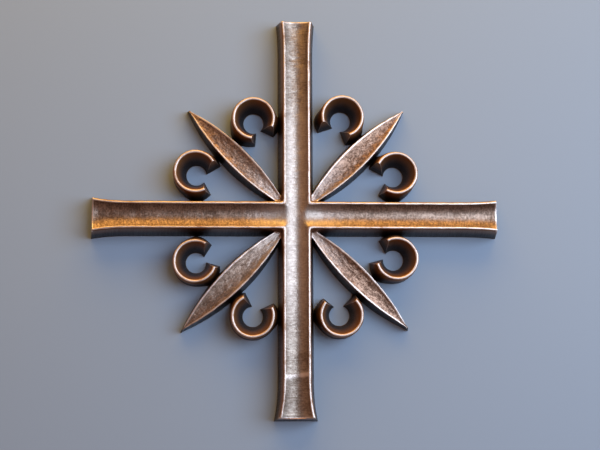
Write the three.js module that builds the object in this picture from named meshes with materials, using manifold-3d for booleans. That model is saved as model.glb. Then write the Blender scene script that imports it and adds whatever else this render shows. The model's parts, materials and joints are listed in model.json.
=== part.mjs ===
// Bronze grave cross, cast in one piece: four arms with a dished front, four leaves on the diagonals
// and eight C-shaped scrolls that join the arms and the leaves at their feet.
// Millimetres, +Z up, +X to the right of someone who faces the cross. The front faces -Y.
// The flat back lies at y = 0, with the origin in the middle of the crossing.
import * as THREE from 'three';
import { mergeVertices } from 'three/addons/utils/BufferGeometryUtils.js';
import Module from 'manifold-3d';

const wasm = await Module();
wasm.setup();

// Arms: the reach from the centre to each end rim, and half the width over the rims at that end
const ARMS = {
  right: { reach: 125, endHalfWidth: 9.6 },
  left: { reach: 125, endHalfWidth: 10.4 },
  top: { reach: 124, endHalfWidth: 9.6 },
  bottom: { reach: 123, endHalfWidth: 10.9 },
};
const ARM_HEIGHT = 18;
const ARM_HALF_WIDTH = 8.45;
const ARM_SIDE_DRAFT = 2.8;
const ARM_END_DRAFT = 3.0;
const FLARE_LENGTH = 26;
const FLARE_POWER = 2.5;
const RIM_WIDTH = 1.35;
const CHANNEL_DEPTH = 3.2;
const END_RISE_LENGTH = 5;
const END_DEPTH_SHARE = 0.86;
const SIDE_ARM_CENTRE_SHARE = 0.6;
const SIDE_ARM_DEEPENING_LENGTH = 18;

// Leaves: one on each diagonal, a lens between two arcs with a shallow trough in its front
const LEAVES = [
  { x: 1, z: 1, reach: 96.5, halfWidth: 7.0 },
  { x: -1, z: 1, reach: 95.0, halfWidth: 6.4 },
  { x: -1, z: -1, reach: 98.5, halfWidth: 7.2 },
  { x: 1, z: -1, reach: 97.3, halfWidth: 6.4 },
];
const LEAF_INNER_END = 7;
const LEAF_TIP_HALF_WIDTH = 0.4;
const LEAF_DRAFT = 2.2;
const LEAF_TIP_DRAFT = 2.5;
const LEAF_HEIGHT = 13.5;
const LEAF_ROOT_HEIGHT = 11;
const LEAF_TIP_HEIGHT = 9.5;
const TROUGH_DEPTH = 1.0;

// Scrolls: the centre, and the gap's direction and angle in degrees, anticlockwise from +X seen from the front
const SCROLLS = [
  { x: 29.0, z: 63.2, gapFaces: -116, gap: 92 },
  { x: 62.5, z: 27.2, gapFaces: -164, gap: 88 },
  { x: -26.8, z: 61.4, gapFaces: -60, gap: 70 },
  { x: -62.7, z: 27.4, gapFaces: -16, gap: 92 },
  { x: -62.4, z: -28.2, gapFaces: 21, gap: 76 },
  { x: -26.8, z: -61.8, gapFaces: 70, gap: 92 },
  { x: 27.4, z: -61.2, gapFaces: 94, gap: 96 },
  { x: 62.0, z: -26.4, gapFaces: 156, gap: 78 },
];
const SCROLL_HEIGHT = 17;
const SCROLL_RIDGE_RADIUS = 12.5;
const SCROLL_RIDGE_WIDTH = 1.3;
const SCROLL_INNER_FOOT_RADIUS = 6.3;
const SCROLL_OUTER_FOOT_RADIUS = 17;
const SCROLL_END_DRAFT = 2.5;

// Facets, and how far a cutting shape runs past the face it cuts
const ARM_STEPS = 40;
const CHANNEL_SIDES = 12;
const END_RISE_STEP_SHARE = 0.2;
const LEAF_STEPS = 18;
const LEAF_SIDES = 6;
const SCROLL_STEPS = 40;
const CUT_MARGIN = 2;

const bronze = new THREE.MeshStandardMaterial({ color: 0x6b4a35, roughness: 0.38, metalness: 1 });

// A closed geometry made a solid that can be joined and cut
function solidOf(geometry) {
  geometry.deleteAttribute('normal');
  geometry.deleteAttribute('uv');
  const merged = mergeVertices(geometry);
  return new wasm.Manifold(new wasm.Mesh({
    numProp: 3,
    vertProperties: new Float32Array(merged.attributes.position.array),
    triVerts: new Uint32Array(merged.index.array),
  }));
}

function geometryOf(solid) {
  const mesh = solid.getMesh();
  const geometry = new THREE.BufferGeometry();
  geometry.setAttribute('position', new THREE.BufferAttribute(mesh.vertProperties, mesh.numProp));
  geometry.setIndex(new THREE.BufferAttribute(mesh.triVerts, 1));
  geometry.computeVertexNormals();
  return geometry;
}

// A block with a front and a back, whose points go where place(across, along, isFront) says.
// Across and along both run from -1 to 1.
function formedBlock(sides, steps, place) {
  const geometry = new THREE.BoxGeometry(2, 2, 2, sides, 1, steps);
  const position = geometry.attributes.position;
  for (let i = 0; i < position.count; i += 1) {
    const point = place(position.getX(i), position.getZ(i), position.getY(i) < 0);
    position.setXYZ(i, point.x, point.y, point.z);
  }
  return geometry;
}

// Height of a circular arc over a chord, at a place from -1 to 1 along that chord
function arcRise(place, halfChord, rise) {
  const radius = (halfChord ** 2 + rise ** 2) / (2 * rise);
  return Math.sqrt(radius ** 2 - (place * halfChord) ** 2) - (radius - rise);
}

function armHalfWidth(arm, distance) {
  const intoFlare = Math.max(0, distance - arm.reach + FLARE_LENGTH) / FLARE_LENGTH;
  return ARM_HALF_WIDTH + (arm.endHalfWidth - ARM_HALF_WIDTH) * intoFlare ** FLARE_POWER;
}

// Two opposite arms as one upright bar with a flat front, its walls leaning out towards the back
function armBar(upper, lower) {
  return formedBlock(2, ARM_STEPS, (across, along, isFront) => {
    const arm = along > 0 ? upper : lower;
    const share = Math.abs(along);
    const halfWidth = armHalfWidth(arm, share * arm.reach) + (isFront ? 0 : ARM_SIDE_DRAFT);
    const distance = share * (arm.reach + (isFront ? 0 : ARM_END_DRAFT));
    return new THREE.Vector3(across * halfWidth, isFront ? -ARM_HEIGHT : 0, Math.sign(along) * distance);
  });
}

// How far out a row of the channel lies, and what share of the full depth it has there:
// level along the arm, then rising a little towards the open end
function channelStation(arm, share) {
  const level = arm.reach - END_RISE_LENGTH;
  const levelShare = 1 - END_RISE_STEP_SHARE;
  if (share <= levelShare) {
    return { distance: level * share / levelShare, depthShare: 1 };
  }
  const distance = level + (END_RISE_LENGTH + CUT_MARGIN) * (share - levelShare) / END_RISE_STEP_SHARE;
  const rise = THREE.MathUtils.smoothstep(distance, level, arm.reach);
  return { distance, depthShare: 1 - (1 - END_DEPTH_SHARE) * rise };
}

// The hollow of the dished front along two opposite arms. At the crossing it has only a share of its depth,
// so that a fully deep channel runs straight through a shallower one.
function armChannel(upper, lower, crossingShare) {
  return formedBlock(CHANNEL_SIDES, ARM_STEPS, (across, along, isFront) => {
    const arm = along > 0 ? upper : lower;
    const { distance, depthShare } = channelStation(arm, Math.abs(along));
    const halfWidth = armHalfWidth(arm, distance) - RIM_WIDTH;
    const deepened = THREE.MathUtils.smoothstep(distance, 0, SIDE_ARM_DEEPENING_LENGTH);
    const share = depthShare * THREE.MathUtils.lerp(crossingShare, 1, deepened);
    const depth = isFront ? -CUT_MARGIN : share * arcRise(across, halfWidth, CHANNEL_DEPTH);
    return new THREE.Vector3(across * halfWidth, depth - ARM_HEIGHT, Math.sign(along) * distance);
  });
}

// A leaf that points up, to be turned onto its diagonal. Its outline at the back is a longer, wider lens.
function leaf({ reach, halfWidth }) {
  return formedBlock(LEAF_SIDES, LEAF_STEPS, (across, along, isFront) => {
    const halfLength = (reach - LEAF_INNER_END + (isFront ? 0 : LEAF_TIP_DRAFT)) / 2;
    const lens = arcRise(along, halfLength, halfWidth + (isFront ? 0 : LEAF_DRAFT));
    const outline = Math.max(lens, LEAF_TIP_HALF_WIDTH);
    const distance = LEAF_INNER_END + halfLength * (1 + along);
    if (!isFront) {
      return new THREE.Vector3(across * outline, 0, distance);
    }
    const endHeight = along > 0 ? LEAF_TIP_HEIGHT : LEAF_ROOT_HEIGHT;
    const rimHeight = LEAF_HEIGHT - (LEAF_HEIGHT - endHeight) * along ** 2;
    const trough = TROUGH_DEPTH * (outline / halfWidth) * (1 - across ** 2);
    return new THREE.Vector3(across * outline, trough - rimHeight, distance);
  });
}

// The full ring that a scroll is cut from: a narrow ridge in front, with flanks that spread to its foot
function scrollRing() {
  const halfRidge = SCROLL_RIDGE_WIDTH / 2;
  const section = [
    new THREE.Vector2(SCROLL_INNER_FOOT_RADIUS, 0),
    new THREE.Vector2(SCROLL_RIDGE_RADIUS - halfRidge, -SCROLL_HEIGHT),
    new THREE.Vector2(SCROLL_RIDGE_RADIUS + halfRidge, -SCROLL_HEIGHT),
    new THREE.Vector2(SCROLL_OUTER_FOOT_RADIUS, 0),
    new THREE.Vector2(SCROLL_INNER_FOOT_RADIUS, 0),
  ];
  return new THREE.LatheGeometry(section, SCROLL_STEPS);
}

// The wedge that opens a ring into a C. It narrows towards the back, so both ends of the scroll lean out.
function scrollGap({ gapFaces, gap }) {
  const facing = THREE.MathUtils.degToRad(gapFaces);
  const halfGap = THREE.MathUtils.degToRad(gap / 2);
  const towards = (angle, length) => new THREE.Vector3(Math.cos(angle), 0, Math.sin(angle)).multiplyScalar(length);
  const sideLength = 2 * SCROLL_OUTER_FOOT_RADIUS;
  return formedBlock(1, 1, (across, along, isFront) => {
    const height = isFront ? SCROLL_HEIGHT + CUT_MARGIN : -CUT_MARGIN;
    const draft = SCROLL_END_DRAFT * (1 - height / SCROLL_HEIGHT);
    const corner = towards(facing, draft / Math.sin(halfGap));
    if (across > 0) {
      corner.add(towards(facing - halfGap, sideLength));
    }
    if (along > 0) {
      corner.add(towards(facing + halfGap, sideLength));
    }
    return corner.setY(-height);
  });
}

function makeCross() {
  const quarterTurn = Math.PI / 2;
  const { right, left, top, bottom } = ARMS;
  let cross = solidOf(armBar(top, bottom));
  cross = cross.add(solidOf(armBar(right, left).rotateY(quarterTurn)));
  cross = cross.subtract(solidOf(armChannel(top, bottom, 1)));
  cross = cross.subtract(solidOf(armChannel(right, left, SIDE_ARM_CENTRE_SHARE).rotateY(quarterTurn)));
  for (const size of LEAVES) {
    cross = cross.add(solidOf(leaf(size).rotateY(Math.atan2(size.x, size.z))));
  }
  for (const size of SCROLLS) {
    const scroll = solidOf(scrollRing()).subtract(solidOf(scrollGap(size)));
    cross = cross.add(scroll.translate([size.x, 0, size.z]));
  }
  return cross;
}

const bronzeCross = new THREE.Mesh(geometryOf(makeCross()), bronze);
bronzeCross.name = 'bronze_cross';

const group = new THREE.Group();
group.add(bronzeCross);

export default group;
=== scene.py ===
# %% [markdown]
# # A cast bronze grave cross
#
# This lesson dresses one small casting: a cross with four dished arms, four leaves on the diagonals and
# eight scrolls. The packed model gives the sizes, and everything here is drawn in millimetres on those
# sizes, then scaled to metres once at the end. The front of the cross looks towards -Y and its flat back
# lies at y = 0, so "height" below means how far a point stands off the back.

# %% Load the packed cross
import json
import math
from types import SimpleNamespace

import bmesh
import bpy
from mathutils import Matrix, Vector, noise
from mathutils.kdtree import KDTree

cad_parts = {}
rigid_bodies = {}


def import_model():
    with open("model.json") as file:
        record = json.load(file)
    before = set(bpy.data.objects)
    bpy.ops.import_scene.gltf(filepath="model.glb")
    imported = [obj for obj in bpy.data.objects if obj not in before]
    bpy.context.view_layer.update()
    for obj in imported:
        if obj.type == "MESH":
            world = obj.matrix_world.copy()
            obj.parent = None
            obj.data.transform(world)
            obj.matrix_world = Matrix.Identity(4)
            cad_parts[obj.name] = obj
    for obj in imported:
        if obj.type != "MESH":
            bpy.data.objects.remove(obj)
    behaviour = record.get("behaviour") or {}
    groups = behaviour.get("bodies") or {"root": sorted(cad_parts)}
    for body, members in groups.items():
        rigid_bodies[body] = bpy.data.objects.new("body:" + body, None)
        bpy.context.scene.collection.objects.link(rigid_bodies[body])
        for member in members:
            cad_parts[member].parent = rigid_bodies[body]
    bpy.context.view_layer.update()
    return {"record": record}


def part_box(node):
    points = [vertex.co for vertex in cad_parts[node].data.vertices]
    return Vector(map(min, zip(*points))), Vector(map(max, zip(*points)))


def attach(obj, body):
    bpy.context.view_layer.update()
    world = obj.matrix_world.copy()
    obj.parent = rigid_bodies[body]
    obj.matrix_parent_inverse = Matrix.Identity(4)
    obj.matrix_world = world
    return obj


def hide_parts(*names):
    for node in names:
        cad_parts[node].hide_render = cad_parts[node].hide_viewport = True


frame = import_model()
MM = 0.001
CROSS = "bronze_cross"
low, high = (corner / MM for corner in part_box(CROSS))
print("The cross spans", [round(size, 1) for size in high - low], "mm")

# %% [markdown]
# ## The camera
#
# The cross was seen from a little to the left and from below, close enough that its depth shows at the
# sides. A camera can be aimed with a Track To constraint, but building its matrix from three directions
# keeps the small roll of the hand that held it. The lens follows from a picture 600 pixels wide.

# %% Camera
PICTURE_WIDTH = 600
FOCAL_PIXELS = 935
SENSOR_WIDTH = 36.0
CAMERA_AIM = Vector((2.57, -7.0, -4.68))
CAMERA_DISTANCE = 586.3
CAMERA_AZIMUTH = -3.24
CAMERA_ELEVATION = -7.63
CAMERA_ROLL = -0.20


def direction(azimuth, elevation):
    """The way out from the cross, so many degrees to the right of straight in front and so many up."""
    turn, lift = math.radians(azimuth), math.radians(elevation)
    level = math.cos(lift)
    return Vector((math.sin(turn) * level, -math.cos(turn) * level, math.sin(lift)))


def place_camera():
    back = direction(CAMERA_AZIMUTH, CAMERA_ELEVATION)
    turn = math.radians(CAMERA_AZIMUTH)
    right = Vector((math.cos(turn), math.sin(turn), 0))
    up = back.cross(right)
    axes = Matrix((right, up, back)).transposed() @ Matrix.Rotation(math.radians(CAMERA_ROLL), 3, "Z")
    optics = bpy.data.cameras.new("camera")
    optics.sensor_width = SENSOR_WIDTH
    optics.lens = SENSOR_WIDTH * FOCAL_PIXELS / PICTURE_WIDTH
    camera = bpy.data.objects.new("camera", optics)
    camera.matrix_world = Matrix.Translation((CAMERA_AIM + back * CAMERA_DISTANCE) * MM) @ axes.to_4x4()
    bpy.context.scene.collection.objects.link(camera)
    bpy.context.scene.camera = camera
    return camera


camera = place_camera()
print("Camera at", [round(value, 3) for value in camera.location], "lens", round(camera.data.lens, 1))

# %% [markdown]
# ## Drawing out a bar
#
# Arms and leaves are long, so both are drawn out like a bar: one flat section becomes a face, and that
# face is extruded to one station after another. A loft between hand-written rings would do the same, but
# extruding keeps the rows in step and leaves a cap on the far end. Afterwards every point is moved by a
# rule that knows how far across, how high and how far along it lies. Smooth noise stands in for the hand
# that finished the wax: it is the same on every run.

# %% Helpers for bars
WELD = 0.02
WEAR = {"rubbed": ("FLOAT", "value"), "dished": ("FLOAT", "value"), "as_cast": ("FLOAT", "value"),
        "grain": ("FLOAT_VECTOR", "vector")}


def draw_out(bm, face, stations):
    """Extrudes the section's face from each station to the next."""
    for start, end in zip(stations, stations[1:]):
        region = [face] + face.edges[:] + face.verts[:]
        made = bmesh.ops.extrude_face_region(bm, geom=region)["geom"]
        face = next(item for item in made if isinstance(item, bmesh.types.BMFace))
        bmesh.ops.translate(bm, vec=(0, 0, end - start), verts=face.verts[:])
    return face


def spread(start, end, step):
    """Evenly spaced stations about a step apart, both ends included."""
    count = max(1, round((end - start) / step))
    return [start + (end - start) * index / count for index in range(count + 1)]


def swing(bm, degrees, axis):
    """Turns the whole shape about an axis through the origin."""
    turn = Matrix.Rotation(math.radians(degrees), 3, axis)
    bmesh.ops.rotate(bm, verts=bm.verts, cent=(0, 0, 0), matrix=turn)


def wander(*place):
    """Smooth unevenness between -1 and 1."""
    return noise.noise(Vector(place))


def pattern(pitch, across, along, seed):
    """Unevenness with a pitch of its own across and along a piece."""
    return wander(across * pitch[0], along * pitch[1], seed)


def wear_layers(bm):
    """Layers for the finish: rubbed edges, dished fronts, unfiled metal, and each piece's own grain."""
    layers = bm.verts.layers
    return [layers.float_vector.new(name) if field == "vector" else layers.float.new(name)
            for name, (_, field) in WEAR.items()]


print("Bars are welded within", WELD, "mm and carry", list(WEAR))

# %% [markdown]
# ## The arm's section
#
# Cut across, an arm is a block with leaning walls whose front is hollowed like a shallow gutter between two
# narrow rims. Half of it is enough: a wire of straight edges, then the lip's point is spun about the
# hollow's centre to draw the round dish. Vertex bevels round the rim: hands and cloths wear its outer edge
# most, so that one gets the larger radius. A mirror adds the other half, and the loop becomes one face.

# %% Helpers for sections
ROUND_STEPS = 3


def open_wire(bm, corners):
    """A wire through (across, height) corners in the plane z = 0."""
    points = [bm.verts.new((across, -height, 0)) for across, height in corners]
    return [bm.edges.new(pair) for pair in zip(points, points[1:])]


def round_over(bm, across, height, radius):
    """Rounds the wire's corner at this place."""
    place = Vector((across, -height, 0))
    corner = [point for point in bm.verts if (point.co - place).length < WELD]
    bmesh.ops.bevel(bm, geom=corner, offset=radius, offset_type="OFFSET", affect="VERTICES",
                    segments=ROUND_STEPS, profile=0.5, material=-1)


def fill_loop(bm):
    """Makes one face of a closed wire."""
    return bmesh.ops.contextual_create(bm, geom=bm.edges[:])["faces"][0]


def mirror_and_fill(bm):
    """Adds the other half of a wire and makes one face of the loop."""
    bmesh.ops.mirror(bm, geom=bm.verts[:] + bm.edges[:], matrix=Matrix(), merge_dist=WELD, axis="X")
    return fill_loop(bm)


def arc_radius(half_chord, rise):
    """Radius of the arc that stands this high over the middle of its chord."""
    return (half_chord ** 2 + rise ** 2) / (2 * rise)


def arc_height(place, half_chord, rise):
    """Height of that arc over its chord, at a place measured from the middle."""
    radius = arc_radius(half_chord, rise)
    return math.sqrt(radius ** 2 - place ** 2) - (radius - rise)


print("Corners are rounded in", ROUND_STEPS, "steps")

# %% Arm section
ARM_HEIGHT = -low.y
ARM_HALF_WIDTH = 8.45
ARM_SIDE_DRAFT = 2.8
RIM_WIDTH = 1.35
RIM_OUTER_ROUND = 0.85
RIM_INNER_ROUND = 0.25
RIM_SKIRT = 1.6
DISH_DEPTH = 3.2
DISH_SIDES = 11
WALL_CUTS = 4
FOOT = ARM_HALF_WIDTH + ARM_SIDE_DRAFT
LIP = ARM_HALF_WIDTH - RIM_WIDTH


def arm_section(bm):
    skirt = ARM_HALF_WIDTH + ARM_SIDE_DRAFT * RIM_SKIRT / ARM_HEIGHT
    corners = [(0, 0), (FOOT, 0), (skirt, ARM_HEIGHT - RIM_SKIRT), (ARM_HALF_WIDTH, ARM_HEIGHT),
               (LIP, ARM_HEIGHT)]
    back, wall, *_ = open_wire(bm, corners)
    bmesh.ops.subdivide_edges(bm, edges=[back], cuts=1)
    bmesh.ops.subdivide_edges(bm, edges=[wall], cuts=WALL_CUTS)
    lip_point = min(bm.verts, key=lambda point: (point.co.y, point.co.x))
    radius = arc_radius(LIP, DISH_DEPTH)
    centre = (0, DISH_DEPTH - ARM_HEIGHT - radius, 0)
    bmesh.ops.spin(bm, geom=[lip_point], cent=centre, axis=(0, 0, 1), angle=math.asin(LIP / radius),
                   steps=DISH_SIDES)
    round_over(bm, ARM_HALF_WIDTH, ARM_HEIGHT, RIM_OUTER_ROUND)
    round_over(bm, LIP, ARM_HEIGHT, RIM_INNER_ROUND)
    return mirror_and_fill(bm)


sample = bmesh.new()
print("The arm's section has", len(arm_section(sample).verts), "points")
sample.free()

# %% [markdown]
# ## The arms
#
# Each arm widens in its last stretch, and its dish rises a little before it runs out through the open end.
# The end wall leans outwards like the side walls, so the casting could leave its mould. The end's edge is
# rounded by closer rows that drop away from the front. File strokes across the dish are real ripples in
# the mesh, and so are two marks left by hand: a crease in the top arm and a raised flat across the bottom
# one, which cloths have polished. All of that fades out towards the crossing, where the arms must be alike.

# %% Arm rules
ARM_END_DRAFT = 3.0
ARM_REACH = {
    "top": high.z - ARM_END_DRAFT,
    "right": high.x - ARM_END_DRAFT,
    "bottom": -low.z - ARM_END_DRAFT,
    "left": -low.x - ARM_END_DRAFT,
}
ARM_TURN = {"top": 0, "right": 90, "bottom": 180, "left": 270}
END_HALF_WIDTH = {"top": 9.6, "right": 9.6, "bottom": 10.9, "left": 10.4}
FLARE_LENGTH = 26
FLARE_POWER = 2.5
END_RISE_LENGTH = 5
END_DEPTH_SHARE = 0.86
END_ROUND = 0.5
END_ROWS = 4
ROW_STEP = 0.8
CROSSING_REACH = 16
CENTRE_OVERLAP = 1
CALM_REACH = 12
CALM_FADE = 6


def arm_stations(arm):
    reach = ARM_REACH[arm]
    level = reach - END_RISE_LENGTH
    turns = [math.pi / 2 * row / END_ROWS for row in range(1, END_ROWS + 1)]
    rounded = [reach - END_ROUND * (1 - math.sin(turn)) for turn in turns]
    crossing = spread(-CENTRE_OVERLAP, CROSSING_REACH, ROW_STEP)
    return (crossing + spread(CROSSING_REACH, level, ROW_STEP)[1:]
            + spread(level, reach - END_ROUND, ROW_STEP / 2)[1:] + rounded)


def ease(share):
    """A smooth step from 0 to 1."""
    share = min(1, max(0, share))
    return share ** 2 * (3 - 2 * share)


def flare(arm, along):
    into = max(0, along - ARM_REACH[arm] + FLARE_LENGTH) / FLARE_LENGTH
    return (END_HALF_WIDTH[arm] - ARM_HALF_WIDTH) * into ** FLARE_POWER


def depth_share(arm, along):
    return 1 - (1 - END_DEPTH_SHARE) * ease((along - ARM_REACH[arm]) / END_RISE_LENGTH + 1)


def end_drop(arm, along):
    """How far the rounded edge at the end has fallen away from the front here."""
    over = min(END_ROUND, max(0, along - ARM_REACH[arm] + END_ROUND))
    return END_ROUND - math.sqrt(END_ROUND ** 2 - over ** 2)


def handwork(along):
    """How much of the hand's unevenness an arm has here: none at the crossing, all of it further out."""
    return min(1, max(0, along - CALM_REACH) / CALM_FADE)


def in_dish(across, below):
    return below < DISH_DEPTH + WELD and abs(across) < LIP + RIM_INNER_ROUND + WELD


print("Arm reaches:", {arm: round(reach, 1) for arm, reach in ARM_REACH.items()})

# %% Marks of the hand and wear
HAND_MARKS = {
    "top": {"place": 100, "width": 0.7, "depth": 0.16, "polish": 0},
    "bottom": {"place": 97.5, "width": 2.4, "depth": -0.34, "polish": 0.9},
}
MARK_SLANT = 0.12
RIPPLE_DEPTH = 0.05
RIPPLE_PITCH = (0.14, 0.6)
SWELL_SHARE = 1.6
SWELL_PITCH = (0.22, 0.24)
SWELL_SEED = 5
END_RIM = 1.0
END_POLISH = 0.95
RIM_POLISH_FALL = 1.6
UNFILED_SHARE = {"top": 0, "right": 0.6, "bottom": 0, "left": 0.6}


def hand_mark(arm, across, along, amount):
    """How much of this amount, depth or polish, the arm's one mark brings here."""
    if arm not in HAND_MARKS:
        return 0
    mark = HAND_MARKS[arm]
    slant = along - mark["place"] - MARK_SLANT * across
    return math.exp(-(slant / mark["width"]) ** 2) * mark[amount]


def dish_marks(arm, across, along):
    """How much deeper the file and the hand left the dish here."""
    turn = ARM_TURN[arm]
    swell = pattern(SWELL_PITCH, across, along, turn + SWELL_SEED)
    ripple = pattern(RIPPLE_PITCH, across, along, turn) + SWELL_SHARE * swell
    return RIPPLE_DEPTH * ripple + hand_mark(arm, across, along, "depth")


def note_arm_wear(bm, arm):
    """Notes on each point of the straight bar how the finish will wear there."""
    rubbed, dished, as_cast, grain = wear_layers(bm)
    for point in bm.verts:
        across, height, along = point.co.x, -point.co.y, point.co.z
        below = ARM_HEIGHT - height
        hollow = in_dish(across, below)
        on_rim = below < RIM_OUTER_ROUND and abs(across) > LIP - RIM_INNER_ROUND
        at_end = along > ARM_REACH[arm] - END_RIM and below < DISH_DEPTH + WELD
        worn_rim = max(0, 1 - RIM_POLISH_FALL * below / RIM_OUTER_ROUND) if on_rim else 0
        polished = hand_mark(arm, across, along, "polish") if hollow else 0
        point[rubbed] = max(worn_rim, END_POLISH if at_end else 0, polished)
        point[dished] = 1 if hollow and not on_rim else 0
        point[as_cast] = UNFILED_SHARE[arm] * point[dished] * handwork(along)
        point[grain] = (across, along, ARM_TURN[arm])


print("Marked arms:", list(HAND_MARKS))

# %% Shape and turn the arms
RIM_WANDER = 0.13
LIP_PITCH, LIP_SEED = 0.21, 40
WALL_PITCH, WALL_SEED = 0.15, 80
ARM_SIDES_APART = 3


def shape_arm(bm, arm):
    """Moves the straight bar's points by the arm's rules."""
    turn = ARM_TURN[arm]
    for point in bm.verts:
        across, height, along = point.co.x, -point.co.y, point.co.z
        below = ARM_HEIGHT - height
        side = math.copysign(1, across)
        lean = max(0, along - CROSSING_REACH) / (ARM_REACH[arm] - CROSSING_REACH)
        by_hand = handwork(along)
        drop = end_drop(arm, along)
        wide = flare(arm, along)
        if in_dish(across, below):
            hollow = below * depth_share(arm, along)
            hollow += dish_marks(arm, across, along) * min(1, hollow) * by_hand
            wavering = RIM_WANDER * wander(along * LIP_PITCH, side * ARM_SIDES_APART, turn + LIP_SEED)
            across *= 1 + (wide + by_hand * wavering) / LIP
            height = ARM_HEIGHT - hollow - drop
        elif height < WELD:
            across *= 1 + wide / FOOT
        else:
            rise = height / ARM_HEIGHT
            wavering = RIM_WANDER * wander(along * WALL_PITCH, side * ARM_SIDES_APART, turn + WALL_SEED)
            across += side * (wide + by_hand * rise * wavering - drop * rise / 2)
            height -= drop * rise
        along += ARM_END_DRAFT * lean * (1 - height / ARM_HEIGHT)
        point.co = (across, -height, along)


def cut_rows(bm, end_wall):
    """Cuts an end wall level with the rows of the side walls, so that wear can fade over its height."""
    pieces = [end_wall] + end_wall.edges[:] + end_wall.verts[:]
    for row in range(1, WALL_CUTS + 1):
        height = (ARM_HEIGHT - RIM_SKIRT) * row / (WALL_CUTS + 1)
        cut = bmesh.ops.bisect_plane(bm, geom=pieces, dist=WELD, plane_co=(0, -height, 0),
                                     plane_no=(0, 1, 0))
        pieces = cut["geom"]


def make_arm(arm):
    bm = bmesh.new()
    stations = arm_stations(arm)
    section = arm_section(bm)
    bmesh.ops.translate(bm, vec=(0, 0, stations[0]), verts=bm.verts)
    cut_rows(bm, draw_out(bm, section, stations))
    note_arm_wear(bm, arm)
    shape_arm(bm, arm)
    for side in (1, -1):
        bmesh.ops.bisect_plane(bm, geom=bm.verts[:] + bm.edges[:] + bm.faces[:], dist=WELD / 10,
                               plane_co=(0, 0, 0), plane_no=(side, 0, -1), clear_outer=True)
    swing(bm, ARM_TURN[arm], "Y")
    return bm


def to_mesh(bm, name):
    mesh = bpy.data.meshes.new(name)
    bm.to_mesh(mesh)
    bm.free()
    return mesh


arms = [to_mesh(make_arm(arm), arm + "_arm") for arm in ARM_TURN]
print("Arms with", [len(mesh.vertices) for mesh in arms], "points")

# %% [markdown]
# ## The crossing
#
# Two bisecting planes mitred each arm at the centre, as a joiner cuts mouldings for a frame. Because the
# four sections are alike there, the cut edges fall on each other and a weld closes them. On the real cross
# the upright's dish runs straight through and the side arms' dish is shallower where it meets it. Cutting
# unlike sections to a mitre would leave gaps, so the dishes are welded alike first and their depth is
# changed afterwards. The inner corners of the rims are eased, since a mould never gives a knife-sharp one.

# %% Weld the arms
EASED_CORNER, CORNER_PASSES = 5, 22
EASED_ARRIS, ARRIS_PASSES = 6.6, 5
SIDE_ARM_CENTRE_SHARE = 0.6
SIDE_ARM_DEEPENING_LENGTH = 18
ARRIS_SOFTNESS = 0.6
DEPTH_MARGIN = 1


def relax(bm, points, passes, axes):
    """Smooths these points a number of times, along the named axes only."""
    for _ in range(passes):
        bmesh.ops.smooth_vert(bm, verts=points, factor=0.5, use_axis_x="x" in axes,
                              use_axis_y="y" in axes, use_axis_z="z" in axes)


def dish_depth(across):
    """Depth of a full dish this far from its middle."""
    return arc_height(across, LIP, DISH_DEPTH) if abs(across) < LIP else 0


def soft_max(first, second):
    """The larger of two depths, with the edge between them rounded."""
    reach = ARRIS_SOFTNESS * min(first, second)
    near = max(0, reach - abs(first - second))
    return max(first, second) + (near ** 2 / (4 * reach) if reach > 0 else 0)


def run_upright_through(bm):
    """Makes the side arms' dish shallower near the crossing, so that the upright's dish runs through it."""
    for point in bm.verts:
        aside, level = abs(point.co.x), abs(point.co.z)
        hollow = ARM_HEIGHT + point.co.y
        in_front = WELD < hollow < DISH_DEPTH + DEPTH_MARGIN
        if aside > SIDE_ARM_DEEPENING_LENGTH or level > LIP or not in_front:
            continue
        deepened = ease(aside / SIDE_ARM_DEEPENING_LENGTH)
        share = SIDE_ARM_CENTRE_SHARE + (1 - SIDE_ARM_CENTRE_SHARE) * deepened
        on_side_arm = level <= aside
        upright = dish_depth(aside) if on_side_arm else hollow
        side_arm = share * (hollow if on_side_arm else dish_depth(level))
        point.co.y = soft_max(upright, side_arm) - ARM_HEIGHT


def weld_arms(meshes):
    bm = bmesh.new()
    for mesh in meshes:
        bm.from_mesh(mesh)
    seam = [point for point in bm.verts if point.is_boundary]
    bmesh.ops.remove_doubles(bm, verts=seam, dist=WELD)
    bmesh.ops.recalc_face_normals(bm, faces=bm.faces)
    off_back = [point for point in bm.verts if point.co.y < -WELD]
    corner = Vector((ARM_HALF_WIDTH, ARM_HALF_WIDTH))
    eased = [point for point in off_back
             if (Vector((abs(point.co.x), abs(point.co.z))) - corner).length < EASED_CORNER]
    relax(bm, eased, CORNER_PASSES, "xz")
    run_upright_through(bm)
    arrises = [point for point in off_back if max(abs(point.co.x), abs(point.co.z)) < EASED_ARRIS]
    relax(bm, arrises, ARRIS_PASSES, "y")
    return bm


bars = weld_arms(arms)
open_edges = sum(not edge.is_manifold for edge in bars.edges)
print("The four arms weld into", len(bars.faces), "faces with", open_edges, "open edges")
bars = to_mesh(bars, "bars")

# %% [markdown]
# ## The leaves
#
# A leaf is a lens between two arcs with a shallow trough in front and a rim on each edge. It is drawn out
# like an arm, on a plain section, and the rule that moves its points gives the lens: the outline at the
# back is longer and wider than at the front, which is the mould's draft again. The trough is rougher than
# the arms, because it was hardly filed, and how much of its cast skin is left differs from leaf to leaf.

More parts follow.
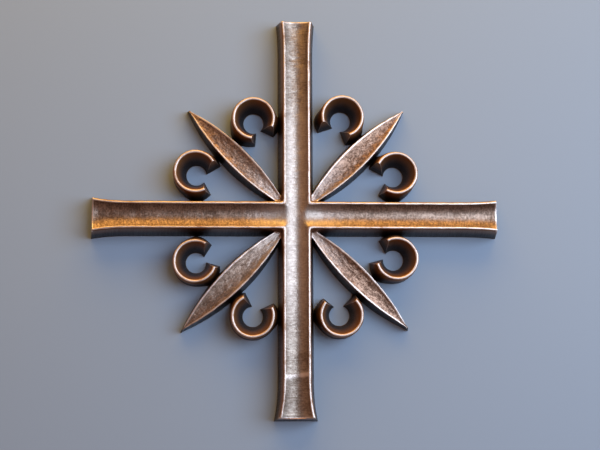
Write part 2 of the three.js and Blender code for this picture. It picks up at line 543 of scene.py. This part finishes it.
# %% Leaf section
LEAVES = {
    "top_right": {"turn": 45, "reach": 96.5, "half_width": 7.0, "unfiled": 1.0},
    "bottom_right": {"turn": 135, "reach": 97.3, "half_width": 6.4, "unfiled": 1.0},
    "bottom_left": {"turn": 225, "reach": 98.5, "half_width": 7.2, "unfiled": 0.5},
    "top_left": {"turn": 315, "reach": 95.0, "half_width": 6.4, "unfiled": 0.9},
}
LEAF_INNER_END = 7
LEAF_TIP_HALF_WIDTH = 0.4
LEAF_DRAFT = 2.2
LEAF_TIP_DRAFT = 2.5
LEAF_HEIGHT = 13.5
LEAF_ROOT_HEIGHT = 11
LEAF_TIP_HEIGHT = 9.5
TROUGH_DEPTH = 1.0
LEAF_RIM = 0.85
LEAF_RIM_ROUND = 0.3
TROUGH_CUTS = 7
LEAF_ROWS = 105


def leaf_section(bm, half_width):
    rim = half_width - LEAF_RIM
    skirt = LEAF_HEIGHT - RIM_SKIRT
    corners = [(0, 0), (half_width, 0), (half_width, skirt), (half_width, LEAF_HEIGHT), (rim, LEAF_HEIGHT),
               (0, LEAF_HEIGHT)]
    back, wall, _, _, trough = open_wire(bm, corners)
    bmesh.ops.subdivide_edges(bm, edges=[back], cuts=1)
    bmesh.ops.subdivide_edges(bm, edges=[wall], cuts=WALL_CUTS - 1)
    bmesh.ops.subdivide_edges(bm, edges=[trough], cuts=TROUGH_CUTS)
    round_over(bm, half_width, LEAF_HEIGHT, LEAF_RIM_ROUND)
    return mirror_and_fill(bm)


def leaf_half_width(share, half_length, half_width):
    """Half the width of a lens between two arcs, at a share from -1 to 1 of its length."""
    return max(arc_height(share * half_length, half_length, half_width), LEAF_TIP_HALF_WIDTH)


print("Leaves on the diagonals:", list(LEAVES))

# %% Shape the leaves
FRONT_RISE = 0.99
RIM_RISE = 0.955
EDGE_RISE = 0.95
TROUGH_FROM = 0.6
RIM_TO = 1.02
TIP_SETTLE = 12
BOWL_POWER = 2.6
BOWL_LEAST = 0.2
GRAIN_DEPTH = 0.16
GRAIN_FADE = 3
COARSE_GRAIN, COARSE_SEED = (0.5, 0.2), 9
FINE_GRAIN, FINE_SHARE = (0.9, 0.55), 0.8
LEAF_EDGE_PITCH = 0.2
LEAF_SIDES_APART = 4


def shape_leaf(bm, turn, reach, half_width, unfiled):
    """Moves a bar's points onto the leaf and notes how the finish will wear there."""
    rubbed, dished, as_cast, grain = wear_layers(bm)
    long_front = (reach - LEAF_INNER_END) / 2
    long_back = long_front + LEAF_TIP_DRAFT / 2
    for point in bm.verts:
        across, height, share = point.co.x, -point.co.y, min(1, max(-1, point.co.z))
        side = math.copysign(1, across)
        rise = height / LEAF_HEIGHT
        inside = (half_width - abs(across)) / LEAF_RIM
        front = leaf_half_width(share, long_front, half_width)
        back = leaf_half_width(share, long_back, half_width + LEAF_DRAFT)
        rim = min(LEAF_RIM, front / 2)
        outline = back + (front - back) * rise
        along = LEAF_INNER_END + (long_back + (long_front - long_back) * rise) * (1 + share)
        end_height = LEAF_TIP_HEIGHT if share > 0 else LEAF_ROOT_HEIGHT
        crown = LEAF_HEIGHT - (LEAF_HEIGHT - end_height) * share ** 2
        settle = min(1, (1 - abs(share)) * TIP_SETTLE)
        in_trough = rise > FRONT_RISE and inside > TROUGH_FROM
        point[rubbed] = 1 if rise > RIM_RISE and inside < RIM_TO else 0
        point[dished] = 1 if rise > FRONT_RISE and inside > RIM_TO else 0
        point[as_cast] = unfiled * point[dished]
        point[grain] = (along, across, turn)
        if rise > EDGE_RISE:
            outline += RIM_WANDER * settle * wander(along * LEAF_EDGE_PITCH, side * LEAF_SIDES_APART, turn)
        if inside <= 1:
            across = side * (outline - inside * rim)
            height = crown * rise
        elif height < WELD:
            across *= outline / half_width
        else:
            across *= (outline - rim) / (half_width - LEAF_RIM)
            height = crown
        if in_trough:
            half_bowl = max(outline - rim * TROUGH_FROM, BOWL_LEAST)
            bowl = max(0, 1 - abs(across / half_bowl) ** BOWL_POWER)
            grainy = pattern(COARSE_GRAIN, across, along, turn + COARSE_SEED)
            grainy += FINE_SHARE * pattern(FINE_GRAIN, across, along, turn)
            height -= bowl * TROUGH_DEPTH * (front / half_width)
            height -= GRAIN_DEPTH * grainy * settle * min(1, bowl * GRAIN_FADE)
        point.co = (across, -height, along)


def make_leaf(turn, reach, half_width, unfiled):
    bm = bmesh.new()
    section = leaf_section(bm, half_width)
    bmesh.ops.translate(bm, vec=(0, 0, -1), verts=bm.verts)
    draw_out(bm, section, spread(-1, 1, 2 / LEAF_ROWS))
    shape_leaf(bm, turn, reach, half_width, unfiled)
    bmesh.ops.recalc_face_normals(bm, faces=bm.faces)
    swing(bm, turn, "Y")
    return bm


leaves = [to_mesh(make_leaf(**size), name + "_leaf") for name, size in LEAVES.items()]
print("Leaves with", [len(mesh.vertices) for mesh in leaves], "points")

# %% [markdown]
# ## The scrolls
#
# A scroll is a ring with a narrow ridge in front and flanks that spread to its foot, opened on one side
# into a C. Spinning one section round the eye gives it in a single step, and the spin simply stops short
# of a full turn. Both cut ends lean out towards the back. The outer foot is slim, and spreads wide only
# towards the arm and the leaf, where the scroll joins them. The packed record states an opening in each eye,
# so the eyes' centres are read from there and cannot drift from the solid model.

# %% Scroll section
SCROLL_GAPS = {
    "top_right_upright": (-116, 92),
    "top_right_level": (-164, 88),
    "top_left_upright": (-60, 70),
    "top_left_level": (-16, 92),
    "bottom_left_level": (21, 76),
    "bottom_left_upright": (70, 92),
    "bottom_right_upright": (94, 96),
    "bottom_right_level": (156, 78),
}
SCROLL_HEIGHT = 17
RIDGE_RADIUS = 12.5
RIDGE_WIDTH = 1.3
RIDGE_ROUND = 0.58
INNER_FOOT_RADIUS = 6.3
OUTER_FOOT_RADIUS = 17
FLANK_CUTS = 6


def eye_centre(name):
    boxes = {opening["name"]: opening["box_m"] for opening in frame["record"]["physics"]["openings"]}
    lower, upper = (Vector(corner) / MM for corner in boxes["scroll_eye_" + name])
    middle = (lower + upper) / 2
    return Vector((middle.x, 0, middle.z))


def scroll_section(bm):
    inner, outer = RIDGE_RADIUS - RIDGE_WIDTH / 2, RIDGE_RADIUS + RIDGE_WIDTH / 2
    down = RIM_SKIRT / SCROLL_HEIGHT
    inner_skirt = inner + (INNER_FOOT_RADIUS - inner) * down
    outer_skirt = outer + (OUTER_FOOT_RADIUS - outer) * down
    corners = [(INNER_FOOT_RADIUS, 0), (inner_skirt, SCROLL_HEIGHT - RIM_SKIRT), (inner, SCROLL_HEIGHT),
               (outer, SCROLL_HEIGHT), (outer_skirt, SCROLL_HEIGHT - RIM_SKIRT), (OUTER_FOOT_RADIUS, 0),
               (INNER_FOOT_RADIUS, 0)]
    inner_flank, inner_edge, _, outer_edge, outer_flank, _ = open_wire(bm, corners)
    bmesh.ops.subdivide_edges(bm, edges=[inner_flank, outer_flank], cuts=FLANK_CUTS)
    bmesh.ops.subdivide_edges(bm, edges=[inner_edge, outer_edge], cuts=1)
    bmesh.ops.remove_doubles(bm, verts=bm.verts, dist=WELD)
    for edge_radius in (inner, outer):
        round_over(bm, edge_radius, SCROLL_HEIGHT, RIDGE_ROUND)
    return fill_loop(bm)


print("Scroll eyes at", [tuple(round(value, 1) for value in eye_centre(name).xz) for name in SCROLL_GAPS])

# %% Shape of a scroll
SCROLL_STEP = math.radians(3.2)
SCROLL_END_DRAFT = 2.5
END_LEAN_ANGLE = math.radians(28)
SHOULDER = 0.5
SLIM_FOOT_SHARE = 0.4
TOUCH_WIDTH = math.radians(24)
POLISH_FROM, POLISH_OVER = 0.968, 0.022
RIDGE_PITCH, RIDGE_SEED = 0.17, 2
TOP_WANDER, TOP_PITCH, TOP_SEED = 0.1, 0.12, 7
FLANK_WANDER, FLANK_PITCH, FLANK_SEED = 0.16, (0.2, 0.2), 3


def touch_angles(centre):
    """Directions from an eye to the arm and to the leaf beside it, anticlockwise from the right."""
    halfway = (abs(centre.x) + abs(centre.z)) / 2
    leaf = (math.copysign(halfway, centre.x) - centre.x, math.copysign(halfway, centre.z) - centre.z)
    arm = (-centre.x, 0) if abs(centre.x) < abs(centre.z) else (0, -centre.z)
    return [math.atan2(up, right) for right, up in (arm, leaf)]


def foot_share(angle, touching):
    """How much of the foot's full spread the outer flank has here: all of it only where it joins on."""
    away = min(abs(math.remainder(angle - touch, math.tau)) for touch in touching)
    return SLIM_FOOT_SHARE + (1 - SLIM_FOOT_SHARE) * math.exp(-(away / TOUCH_WIDTH) ** 2)


def fullness(rise):
    """How full a flank is here: flat at the foot and the ridge, and fullest near the top."""
    return 4 * rise ** 3 * (1 - rise ** 3)


def shape_scroll(bm, sweep, start, touching, seed):
    """Moves a spun ring's points onto the scroll and notes how the finish will wear there."""
    rubbed, _, as_cast, grain = wear_layers(bm)
    for point in bm.verts:
        radius = math.hypot(point.co.x, point.co.z)
        angle = math.atan2(point.co.z, point.co.x) % math.tau
        if angle > math.tau - SCROLL_STEP / 2:
            angle -= math.tau
        height = -point.co.y
        rise = height / SCROLL_HEIGHT
        along = angle * RIDGE_RADIUS
        point[rubbed] = min(1, max(0, (rise - POLISH_FROM) / POLISH_OVER))
        point[as_cast] = 1
        point[grain] = (height, along, seed)
        flank = max(0, radius - RIDGE_RADIUS - RIDGE_WIDTH / 2)
        radius -= flank * (1 - foot_share(angle + start, touching))
        lean = SCROLL_END_DRAFT * (1 - rise) / radius
        angle -= lean * max(0, 1 - angle / END_LEAN_ANGLE)
        angle += lean * max(0, 1 - (sweep - angle) / END_LEAN_ANGLE)
        radius += math.copysign(SHOULDER, radius - RIDGE_RADIUS) * fullness(rise)
        radius += RIM_WANDER * rise * wander(along * RIDGE_PITCH, seed, RIDGE_SEED)
        height += TOP_WANDER * rise * wander(along * TOP_PITCH, seed, TOP_SEED)
        dents = pattern(FLANK_PITCH, along, height, seed + FLANK_SEED)
        radius += FLANK_WANDER * (1 - rise) * min(1, height) * dents
        point.co = (radius * math.cos(angle), -height, radius * math.sin(angle))


print("Feet are slim but for", round(math.degrees(TOUCH_WIDTH)), "degrees to each side of a joint")

# %% Spin the scrolls
TOWARDS_FRONT = (0, -1, 0)
CUT_ENDS = 2
END_SOFTENING = 0.22
END_SOFTENING_STEPS = 2
END_EDGE_POLISH = 0.5


def soften_end(bm, cap):
    """Rounds the edge round an end cap, all but the edge on the flat back."""
    edges = [edge for edge in cap.edges if min(point.co.y for point in edge.verts) < -WELD]
    made = bmesh.ops.bevel(bm, geom=edges, offset=END_SOFTENING, offset_type="OFFSET", affect="EDGES",
                           segments=END_SOFTENING_STEPS, profile=0.5, material=-1, clamp_overlap=True)
    return made["verts"]


def finish_ends(bm):
    """Softens both cut ends and notes bright edges round dark faces."""
    rubbed = bm.verts.layers.float["rubbed"]
    for cap in [face for face in bm.faces if len(face.verts) > 4]:
        for point in soften_end(bm, cap):
            rise = -point.co.y / SCROLL_HEIGHT
            point[rubbed] = max(point[rubbed], END_EDGE_POLISH + (1 - END_EDGE_POLISH) * rise)
    by_size = sorted(bm.faces, key=lambda face: face.calc_area())
    for cut_end in by_size[-CUT_ENDS:]:
        for point in cut_end.verts:
            point[rubbed] = 0


def make_scroll(name, faces, gap):
    bm = bmesh.new()
    section = scroll_section(bm)
    sweep = math.radians(360 - gap)
    start = faces + gap / 2
    centre = eye_centre(name)
    region = [section] + section.edges[:] + section.verts[:]
    bmesh.ops.spin(bm, geom=region, cent=(0, 0, 0), axis=TOWARDS_FRONT, angle=sweep,
                   steps=round(sweep / SCROLL_STEP))
    shape_scroll(bm, sweep, math.radians(start), touch_angles(centre), faces)
    finish_ends(bm)
    bmesh.ops.recalc_face_normals(bm, faces=bm.faces)
    swing(bm, start, TOWARDS_FRONT)
    bmesh.ops.translate(bm, vec=centre, verts=bm.verts)
    return bm


scrolls = [to_mesh(make_scroll(name, *gap), name + "_scroll") for name, gap in SCROLL_GAPS.items()]
print("Scrolls with", [len(mesh.vertices) for mesh in scrolls], "points")

# %% [markdown]
# ## One casting
#
# The real cross came out of one mould, so the pieces are joined into a single closed skin. One Boolean
# modifier adds all leaves and scrolls to the bars, and the finished shape is read back as a new mesh.
# Simply overlapping the pieces would look the same from the front, but it would leave walls inside the
# metal. All backs lie in one plane, which the Exact solver leaves full of doubled faces, while the Manifold
# solver closes it. The join mixes up the wear that was noted on the points, so each point of the casting
# takes it again from the nearest point of the pieces.

# %% Join the pieces
def bare_object(mesh):
    made = bpy.data.objects.new(mesh.name, mesh)
    bpy.context.scene.collection.objects.link(made)
    return made


def cast_in_one(base, added):
    body = bare_object(base)
    pieces = bpy.data.collections.new("pieces_to_join")
    for mesh in added:
        pieces.objects.link(bpy.data.objects.new(mesh.name, mesh))
    join = body.modifiers.new("join", "BOOLEAN")
    join.operation = "UNION"
    join.solver = "MANIFOLD"
    join.operand_type = "COLLECTION"
    join.collection = pieces
    seen = body.evaluated_get(bpy.context.evaluated_depsgraph_get())
    mesh = bpy.data.meshes.new_from_object(seen)
    for helper in pieces.objects[:] + [body]:
        bpy.data.objects.remove(helper)
    bpy.data.collections.remove(pieces)
    return mesh


def note_wear_again(mesh, pieces):
    """Copies the wear from the nearest point of the pieces."""
    sources = [(piece, point) for piece in pieces for point in piece.vertices]
    tree = KDTree(len(sources))
    for index, (_, point) in enumerate(sources):
        tree.insert(point.co, index)
    tree.balance()
    nearest = [sources[tree.find(point.co)[1]] for point in mesh.vertices]
    for name, (kind, field) in WEAR.items():
        mesh.attributes.remove(mesh.attributes[name])
        fresh = mesh.attributes.new(name, kind, "POINT")
        for index, (piece, point) in enumerate(nearest):
            setattr(fresh.data[index], field, getattr(piece.attributes[name].data[point.index], field))


casting = cast_in_one(bars, leaves + scrolls)
note_wear_again(casting, [bars] + leaves + scrolls)
print("One casting of", len(casting.vertices), "points")

# %% [markdown]
# ## The cast skin
#
# Where two forms meet, molten bronze leaves a small fillet, so the points beside each inner corner are
# smoothed. Then the whole front is made slightly uneven with soft noise along the normals, which is what
# makes reflections wander on a hand-finished casting. The flat back stays as it was ground.

# %% Fillets and unevenness
FILLET_ANGLE = math.radians(-28)
FILLET_REACH = 1.3
FILLET_PASSES = 4
BACK_MARGIN = 0.4
UNEVEN = ((0.09, 0.10), (0.3, 0.045))


def soften_joints(bm):
    inner = [edge for edge in bm.edges if edge.is_manifold and edge.calc_face_angle_signed() < FILLET_ANGLE]
    joints = {point for edge in inner for point in edge.verts}
    near = set(joints)
    for point in joints:
        for edge in point.link_edges:
            other = edge.other_vert(point)
            if (other.co - point.co).length < FILLET_REACH:
                near.add(other)
    near = [point for point in near if point.co.y < -BACK_MARGIN]
    relax(bm, near, FILLET_PASSES, "xyz")
    return len(near)


def roughen(bm):
    bm.normal_update()
    for point in bm.verts:
        off_back = min(1, max(0, -point.co.y - BACK_MARGIN))
        amount = sum(depth * noise.noise(point.co * pitch) for pitch, depth in UNEVEN)
        point.co += point.normal * amount * off_back


skin = bmesh.new()
skin.from_mesh(casting)
bmesh.ops.triangulate(skin, faces=[face for face in skin.faces if len(face.verts) > 4])
softened = soften_joints(skin)
roughen(skin)
bmesh.ops.recalc_face_normals(skin, faces=skin.faces)
bmesh.ops.scale(skin, vec=(MM, MM, MM), verts=skin.verts)
triangles = sum(len(face.verts) - 2 for face in skin.faces)
leaks = sum(not edge.is_manifold for edge in skin.edges)
print("Skin of", triangles, "triangles,", softened, "points softened,", leaks, "open edges")

# %% [markdown]
# ## The bronze
#
# Old bronze is several finishes in one. Edges that hands and cloths reach are rubbed bright, the dished
# fronts are a streaky brown that is brightest near the crossing, the leaves and side arms keep some of the
# darker, grainy skin of the casting, and walls and flanks are painted nearly black towards the back: dark
# patina together with painted shade. The scrolls stay reddish below their ridge, and the hidden back is dull
# from grinding. Painting that by eye would mean an image, so the wear noted on the mesh decides instead:
# attributes say how rubbed a point is, whether it lies in a dish and how little it was filed, and its height
# above the back does the rest, the painted shade included. Noise breaks each border up. The grain attribute
# runs across and along every piece, so strokes turn with the arms.

# %% Helpers for finishes
class Finish:
    """A material's node tree, with one short call for each kind of node that the finishes use."""

    def __init__(self, name):
        self.material = bpy.data.materials.new(name)
        self.material.use_nodes = True
        self.nodes = self.material.node_tree.nodes
        self.links = self.material.node_tree.links
        self.shader = self.nodes["Principled BSDF"]

    def feed(self, socket, value):
        if isinstance(value, bpy.types.NodeSocket):
            self.links.new(value, socket)
        else:
            socket.default_value = value

    def noise(self, vector, scale, detail, roughness):
        node = self.nodes.new("ShaderNodeTexNoise")
        self.feed(node.inputs["Vector"], vector)
        node.inputs["Scale"].default_value = scale
        node.inputs["Detail"].default_value = detail
        node.inputs["Roughness"].default_value = roughness
        return node.outputs["Fac"]

    def math(self, operation, first, second):
        node = self.nodes.new("ShaderNodeMath")
        node.operation = operation
        self.feed(node.inputs[0], first)
        self.feed(node.inputs[1], second)
        return node.outputs[0]

    def weighted(self, *parts):
        """The sum of values, each multiplied by its weight."""
        products = [self.math("MULTIPLY", value, weight) for value, weight in parts]
        total = products[0]
        for product in products[1:]:
            total = self.math("ADD", total, product)
        return total

    def ramp(self, value, start, end, first=0.0, last=1.0):
        """Runs smoothly from first to last while the value runs from start to end."""
        node = self.nodes.new("ShaderNodeMapRange")
        node.interpolation_type = "SMOOTHSTEP"
        self.feed(node.inputs["Value"], value)
        for name, number in {"From Min": start, "From Max": end, "To Min": first, "To Max": last}.items():
            node.inputs[name].default_value = number
        return node.outputs["Result"]

    def mix(self, share, first, second):
        node = self.nodes.new("ShaderNodeMix")
        node.data_type = "RGBA"
        self.feed(node.inputs["Factor"], share)
        self.feed(node.inputs[6], first)
        self.feed(node.inputs[7], second)
        return node.outputs[2]

    def reach(self, vector, counts):
        """How far a place lies from the origin, when each axis counts so many times."""
        scaled = self.nodes.new("ShaderNodeVectorMath")
        scaled.operation = "MULTIPLY"
        self.feed(scaled.inputs[0], vector)
        scaled.inputs[1].default_value = counts
        length = self.nodes.new("ShaderNodeVectorMath")
        length.operation = "LENGTH"
        self.feed(length.inputs[0], scaled.outputs["Vector"])
        return length.outputs["Value"]

    def attribute(self, name, output="Fac"):
        node = self.nodes.new("ShaderNodeAttribute")
        node.attribute_name = name
        return node.outputs[output]


print("Finishes can use", [name for name in vars(Finish) if not name.startswith("_")])

# %% What the bronze reads
BLOTCHES = {"scale": 110, "detail": 6, "roughness": 0.65}
PITS = {"scale": 900, "detail": 4, "roughness": 0.65}
STROKES = {"scale": 1, "detail": 4, "roughness": 0.6}
STROKE_STRETCH = (0.35, 1.0, 1)


def read_surface(finish):
    """The place, the noises and the noted wear that every layer of the bronze reads."""
    place = finish.nodes.new("ShaderNodeTexCoord").outputs["Object"]
    split = finish.nodes.new("ShaderNodeSeparateXYZ")
    finish.feed(split.inputs[0], place)
    stretch = finish.nodes.new("ShaderNodeMapping")
    finish.feed(stretch.inputs["Vector"], finish.attribute("grain", "Vector"))
    stretch.inputs["Scale"].default_value = STROKE_STRETCH
    return SimpleNamespace(
        place=place,
        height=finish.math("MULTIPLY", split.outputs["Y"], -1),
        blotches=finish.noise(place, **BLOTCHES),
        pits=finish.noise(place, **PITS),
        strokes=finish.noise(stretch.outputs["Vector"], **STROKES),
        rubbed=finish.attribute("rubbed"),
        dished=finish.attribute("dished"),
        as_cast=finish.attribute("as_cast"),
    )


print("Pits are about", round(1 / PITS["scale"] / MM, 1), "mm across")

# %% Colours of the bronze
RUBBED_BRONZE = (0.70, 0.51, 0.40, 1)
BROWN_BRONZE = (0.40, 0.28, 0.20, 1)
DARK_BRONZE = (0.19, 0.12, 0.08, 1)
CAST_BROWN = (0.385, 0.205, 0.125, 1)
CAST_DARK = (0.12, 0.058, 0.034, 1)
# The darkest wall and scroll tones are dark patina together with painted shade, laid on nearer the back.
BLACK_PATINA_AND_SHADE = (0.03, 0.019, 0.014, 1)
FLANK_BRONZE = (0.27, 0.12, 0.055, 1)
SCROLL_DEEP_PATINA_AND_SHADE = (0.045, 0.027, 0.02, 1)
SCROLL_FLANK = (0.34, 0.135, 0.045, 1)
GROUND_BACK = (0.29, 0.20, 0.135, 1)
GROUND_BACK_DARK = (0.13, 0.085, 0.055, 1)
WALL_SHADE_TO_BROWN = (0.006, 0.0172)
SCROLL_SHADE_TO_BROWN = (0.005, 0.0168)
OFF_THE_BACK = (0.0002, 0.0007)
BACK_MOTTLING = (0.38, 0.6)
FILED_MOTTLING = (0.39, 0.61)
CAST_MOTTLING = (0.42, 0.6)
STROKE_SHARE, BLOTCH_SHARE, PIT_SHARE = 0.35, 0.4, 0.25
CAST_PIT_SHARE, CAST_WORKED_SHARE = 0.4, 0.6
HANDLED_WITHIN = (0.035, 0.085)
HANDLED_SHARE = 0.28
SIDEWAYS_COUNTS_MORE = (2.2, 0, 1)


def depth_and_shade_colour(finish, surface):
    """Walls and scrolls painted darker towards the back, dark patina with painted shade, and the ground back.
    """
    # Painted shade with patina: the nearer a wall or flank lies to the back, the darker it is painted.
    wall_unshaded_share = finish.ramp(surface.height, *WALL_SHADE_TO_BROWN)
    wall_shaded_tone = finish.mix(wall_unshaded_share, BLACK_PATINA_AND_SHADE, FLANK_BRONZE)
    scroll_unshaded_share = finish.ramp(surface.height, *SCROLL_SHADE_TO_BROWN)
    scroll_shaded_tone = finish.mix(scroll_unshaded_share, SCROLL_DEEP_PATINA_AND_SHADE, SCROLL_FLANK)
    back_share = finish.ramp(surface.blotches, *BACK_MOTTLING)
    back_tone = finish.mix(back_share, GROUND_BACK_DARK, GROUND_BACK)
    side_shaded_tone = finish.mix(surface.as_cast, wall_shaded_tone, scroll_shaded_tone)
    return finish.mix(finish.ramp(surface.height, *OFF_THE_BACK), back_tone, side_shaded_tone)


def dish_colour(finish, surface):
    """Filed and unfiled fronts, brighter where hands reach them near the crossing."""
    worked = finish.weighted((surface.strokes, STROKE_SHARE), (surface.blotches, BLOTCH_SHARE),
                             (surface.pits, PIT_SHARE))
    filed_tone = finish.mix(finish.ramp(worked, *FILED_MOTTLING), DARK_BRONZE, BROWN_BRONZE)
    grainy = finish.weighted((surface.pits, CAST_PIT_SHARE), (worked, CAST_WORKED_SHARE))
    cast_tone = finish.mix(finish.ramp(grainy, *CAST_MOTTLING), CAST_DARK, CAST_BROWN)
    dish_tone = finish.mix(surface.as_cast, filed_tone, cast_tone)
    from_middle = finish.reach(surface.place, SIDEWAYS_COUNTS_MORE)
    handled = finish.ramp(from_middle, *HANDLED_WITHIN, HANDLED_SHARE, 0.0)
    return finish.mix(handled, dish_tone, RUBBED_BRONZE)


print("Tones run from", BLACK_PATINA_AND_SHADE[:3], "to", RUBBED_BRONZE[:3])

# %% Patinated bronze
RUB_PATCHES = (0.3, 0.55)
RUB_LEAST = 0.6
RUB_SHOWS = (0.4, 0.95)
STROKE_CONTRAST = (0.3, 0.7)
ROUGHEST, SMOOTHEST = 0.47, 0.37
UNFILED_ROUGHER = 0.12
BACK_METALLIC = 0.2
STROKE_RELIEF, PIT_RELIEF = 0.6, 0.9
RELIEF_STRENGTH = 0.8
RELIEF_DEPTH = 0.00014
SHARP_EDGE = math.radians(42)


def make_bronze():
    finish = Finish("patinated_bronze")
    surface = read_surface(finish)
    sockets = finish.shader.inputs
    tone = finish.mix(surface.dished, depth_and_shade_colour(finish, surface), dish_colour(finish, surface))
    patchy = finish.ramp(surface.blotches, *RUB_PATCHES, RUB_LEAST, 1.0)
    worn = finish.ramp(finish.math("MULTIPLY", surface.rubbed, patchy), *RUB_SHOWS)
    finish.feed(sockets["Base Color"], finish.mix(worn, tone, RUBBED_BRONZE))
    brushed = finish.ramp(surface.strokes, *STROKE_CONTRAST, ROUGHEST, SMOOTHEST)
    off_dish = finish.math("SUBTRACT", 1.0, surface.dished)
    unfiled = finish.math("MULTIPLY", off_dish, surface.as_cast)
    rougher = finish.math("MULTIPLY", unfiled, UNFILED_ROUGHER)
    finish.feed(sockets["Roughness"], finish.math("ADD", brushed, rougher))
    finish.feed(sockets["Metallic"], finish.ramp(surface.height, *OFF_THE_BACK, BACK_METALLIC, 1.0))
    filed = finish.math("MULTIPLY", surface.strokes, surface.dished)
    relief = finish.weighted((filed, STROKE_RELIEF), (surface.pits, PIT_RELIEF))
    bump = finish.nodes.new("ShaderNodeBump")
    bump.inputs["Strength"].default_value = RELIEF_STRENGTH
    bump.inputs["Distance"].default_value = RELIEF_DEPTH
    finish.feed(bump.inputs["Height"], relief)
    finish.feed(sockets["Normal"], bump.outputs["Normal"])
    return finish.material


cross_mesh = to_mesh(skin, "cast_cross")
cross_mesh.shade_smooth()
cross_mesh.set_sharp_from_angle(angle=SHARP_EDGE)
cross = bare_object(cross_mesh)
cross_mesh.materials.clear()
cross_mesh.materials.append(make_bronze())
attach(cross, "root")
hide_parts(CROSS)
print("The casting rides on the root body and stands for", CROSS)

# %% [markdown]
# ## Stage and light
#
# The cross hangs on a plain pale wall. Bronze shows what it mirrors, so a single lamp would only leave small
# glints: broad soft panels give the long bands of light along each dish. Two cool ones stand to the right
# like windows, a warm one hangs above, and weak warm ones stand for the rest of the room. The wall can be
# seen only from the front, so that the back of the cross can be looked at, and the panel close beside it is
# kept off the wall, where it would leave a bright stripe.

# %% Stage
WALL_GREY = (0.30, 0.325, 0.36, 1)
WALL_ROUGHNESS = 0.9
WALL_HALF_SIZE = 1.2
WALL_GAP = 0.0005


def wall_paint():
    finish = Finish("plain_wall")
    finish.shader.inputs["Base Color"].default_value = WALL_GREY
    finish.shader.inputs["Roughness"].default_value = WALL_ROUGHNESS
    clear = finish.nodes.new("ShaderNodeBsdfTransparent")
    side = finish.nodes.new("ShaderNodeNewGeometry")
    both = finish.nodes.new("ShaderNodeMixShader")
    finish.feed(both.inputs["Fac"], side.outputs["Backfacing"])
    finish.feed(both.inputs[1], finish.shader.outputs["BSDF"])
    finish.feed(both.inputs[2], clear.outputs["BSDF"])
    finish.feed(finish.nodes["Material Output"].inputs["Surface"], both.outputs["Shader"])
    return finish.material


def make_wall():
    bm = bmesh.new()
    bmesh.ops.create_grid(bm, x_segments=1, y_segments=1, size=WALL_HALF_SIZE)
    swing(bm, 90, "X")
    bmesh.ops.translate(bm, vec=(0, WALL_GAP, 0), verts=bm.verts)
    wall = bare_object(to_mesh(bm, "backdrop_wall"))
    wall.data.materials.append(wall_paint())
    wall.visible_shadow = False
    return wall


wall = make_wall()
print("Wall faces", [round(value) for value in wall.data.polygons[0].normal])

# %% Lights
DAYLIGHT = (0.49, 0.69, 1.0)
LAMPLIGHT = (1.0, 0.67, 0.19)
ROOM_LIGHT = (1.0, 0.6, 0.4)
PANELS = {
    "window_front": {"aim": (33, 7), "distance": 0.9, "size": (0.86, 0.58), "glow": 5.6, "colour": DAYLIGHT},
    "window_side": {"aim": (80, 7), "distance": 0.7, "size": (0.57, 0.5), "glow": 4.2, "colour": DAYLIGHT},
    "lamp_above": {"aim": (-5, 66), "distance": 0.8, "size": (1.0, 0.75), "glow": 2.75, "colour": LAMPLIGHT},
    "room_left": {"aim": (-45, 4), "distance": 1.2, "size": (1.6, 1.2), "glow": 0.27, "colour": ROOM_LIGHT},
    "room_below": {"aim": (0, -42), "distance": 1.0, "size": (1.3, 0.8), "glow": 0.14, "colour": ROOM_LIGHT},
    "room_behind": {"aim": (200, 25), "distance": 1.3, "size": (1.2, 0.9), "glow": 1.6, "colour": ROOM_LIGHT},
}
WATTS_PER_GLOW = 4
AIR_COLOUR = (0.55, 0.42, 0.4, 1)
AIR_STRENGTH = 0.13


def soft_panel(name, aim, distance, size, glow, colour):
    """A soft panel that faces the cross. Its aim is degrees to the right and degrees up."""
    towards = direction(*aim)
    width, height = size
    lamp = bpy.data.lights.new(name, "AREA")
    lamp.shape = "RECTANGLE"
    lamp.size = width
    lamp.size_y = height
    lamp.energy = WATTS_PER_GLOW * glow * width * height
    lamp.color = colour
    panel = bpy.data.objects.new(name, lamp)
    panel.location = towards * distance
    panel.rotation_euler = towards.to_track_quat("Z", "Y").to_euler()
    panel.visible_camera = False
    bpy.context.scene.collection.objects.link(panel)
    return panel


def keep_off(panel, thing):
    """Leaves one thing out of a panel's light."""
    unlit = bpy.data.collections.new(panel.name + "_unlit")
    unlit.objects.link(thing)
    unlit.collection_objects[0].light_linking.link_state = "EXCLUDE"
    panel.light_linking.receiver_collection = unlit


def fill_air():
    """A weak even glow from all round."""
    world = bpy.data.worlds.new("dim_room")
    world.use_nodes = True
    background = world.node_tree.nodes["Background"]
    background.inputs["Color"].default_value = AIR_COLOUR
    background.inputs["Strength"].default_value = AIR_STRENGTH
    bpy.context.scene.world = world


panels = {name: soft_panel(name, **settings) for name, settings in PANELS.items()}
keep_off(panels["window_side"], wall)
fill_air()
bpy.context.scene.view_settings.view_transform = "Standard"
print("Lights:", list(panels))

# %% [markdown]
# ## Sizes and finish
#
# Dressing a model must not change its size.
